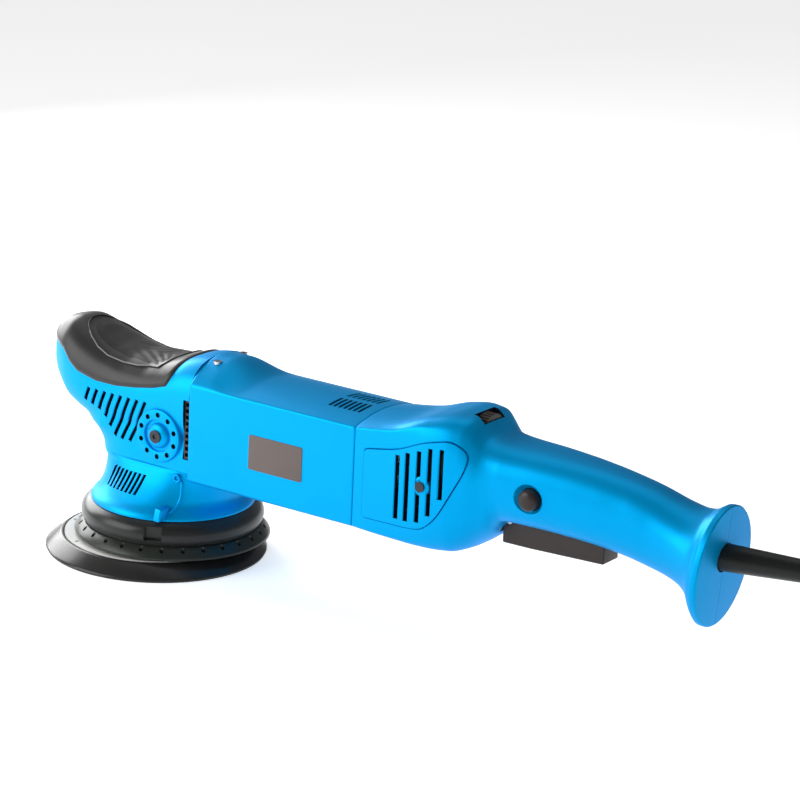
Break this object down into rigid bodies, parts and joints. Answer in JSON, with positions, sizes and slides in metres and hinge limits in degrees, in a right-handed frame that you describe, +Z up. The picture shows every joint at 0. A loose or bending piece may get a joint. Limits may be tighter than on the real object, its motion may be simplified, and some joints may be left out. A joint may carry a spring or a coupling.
{
  "type": "dual action polisher",
  "caption": "Long-body dual action polisher with an offset round backing plate, rubber head grip, paddle trigger, lock button, speed wheel and a coiled mains cord.",
  "frame": {"origin": "spindle axis at the working face of the backing plate", "axes": "+X towards the handle and the cord, +Z up along the spindle, -Y towards the side with the lock-on button"},
  "size_m": [0.8553, 0.1716, 0.1504],
  "materials": {
    "blue_shell": "satin",
    "grip_rubber": "satin",
    "ring_rubber": "satin",
    "cord_rubber": "matte",
    "black_plastic": "matte",
    "control_plastic": "satin",
    "label": "matte",
    "plate_core": "satin",
    "hook_fabric": "matte",
    "zinc_steel": "bright",
    "cast_alloy": "cast",
    "dark_steel": "laminated",
    "copper": "enamelled",
    "brass": "bright",
    "carbon": "matte",
    "board_green": "satin",
    "white_plastic": "satin"
  },
  "bodies": {
    "root": {"head_cover": "blue_shell", "neck_skirt": "blue_shell", "grip_cap": "grip_rubber", "grip_pad": "grip_rubber", "boss_cap_left": "blue_shell", "boss_cap_right": "blue_shell", "boss_screws": "zinc_steel", "head_screws": "zinc_steel", "exhaust_grilles": "black_plastic", "bumper_ring": "ring_rubber", "guard_ring": "ring_rubber", "motor_housing": "blue_shell", "rating_plates": "label", "handle_shell_left": "blue_shell", "handle_shell_right": "blue_shell", "vent_cover_left": "blue_shell", "vent_cover_right": "blue_shell", "vent_cover_screws": "zinc_steel", "handle_screws": "zinc_steel", "strain_relief": "cord_rubber", "power_cord": "cord_rubber", "cord_coil": "cord_rubber", "coil_tie": "black_plastic", "mains_plug": "cord_rubber", "plug_pins": "brass", "gearbox_casting": "cast_alloy", "gearbox_cover": "cast_alloy", "gearbox_screws": "zinc_steel", "spindle_bearings": "zinc_steel", "motor_bearings": "zinc_steel", "stator_core": "dark_steel", "stator_windings": "copper", "brush_bracket": "black_plastic", "brush_holders": "brass", "carbon_brushes": "carbon", "speed_module": "board_green", "switch_body": "black_plastic", "trigger_pin": "zinc_steel", "cord_clamp": "black_plastic", "button_spring": "zinc_steel", "trigger_spring": "zinc_steel"},
    "armature": {"armature_shaft": "zinc_steel", "armature_core": "dark_steel", "armature_windings": "copper", "commutator": "copper", "cooling_fan": "black_plastic", "drive_pinion": "dark_steel"},
    "spindle": {"spindle_shaft": "zinc_steel", "bevel_gear": "dark_steel", "eccentric_hub": "dark_steel", "pad_bearings": "zinc_steel"},
    "pad": {"pad_spindle": "zinc_steel", "plate_core": "plate_core", "plate_rim": "ring_rubber", "hook_face": "hook_fabric", "plate_bolt": "zinc_steel"},
    "trigger": {"trigger_paddle": "control_plastic"},
    "plunger": {"switch_plunger": "white_plastic"},
    "button": {"lock_button": "control_plastic"},
    "dial": {"speed_dial": "black_plastic"}
  },
  "joints": [
    {"name": "spindle_spin", "type": "hinge", "parent": "root", "child": "spindle", "pos_m": [0, 0, 0.096], "axis": [0, 0, 1], "continuous": true},
    {"name": "armature_spin", "type": "hinge", "parent": "root", "child": "armature", "pos_m": [0.1, 0, 0.096], "axis": [1, 0, 0], "continuous": true},
    {"name": "pad_spin", "type": "hinge", "parent": "spindle", "child": "pad", "pos_m": [-0.0087, -0.00587, 0.025], "axis": [0, 0, 1], "continuous": true},
    {"name": "trigger_swing", "type": "hinge", "parent": "root", "child": "trigger", "pos_m": [0.274, 0, 0.084], "axis": [0, -1, 0], "range_deg": [0, 6], "stiffness_Nm_per_rad": 0.6, "springref_deg": -8.59, "deforming": ["trigger_spring"]},
    {"name": "plunger_slide", "type": "slide", "parent": "root", "child": "plunger", "axis": [0, 0, 1], "range_m": [0, 0.0028], "stiffness_N_per_m": 0.01, "springref_m": 0.52004},
    {"name": "lock_press", "type": "slide", "parent": "root", "child": "button", "axis": [0, 1, 0], "range_m": [0, 0.003], "stiffness_N_per_m": 300, "springref_m": -0.002, "deforming": ["button_spring"]},
    {"name": "dial_turn", "type": "hinge", "parent": "root", "child": "dial", "pos_m": [0.2495, 0, 0.1345], "axis": [1, 0, 0], "range_deg": [0, 300]}
  ],
  "couplings": [
    {"joint": "armature_spin", "follows": "spindle_spin", "ratio": 3},
    {"joint": "plunger_slide", "follows": "trigger_swing", "m_per_rad": 0.026}
  ]
}
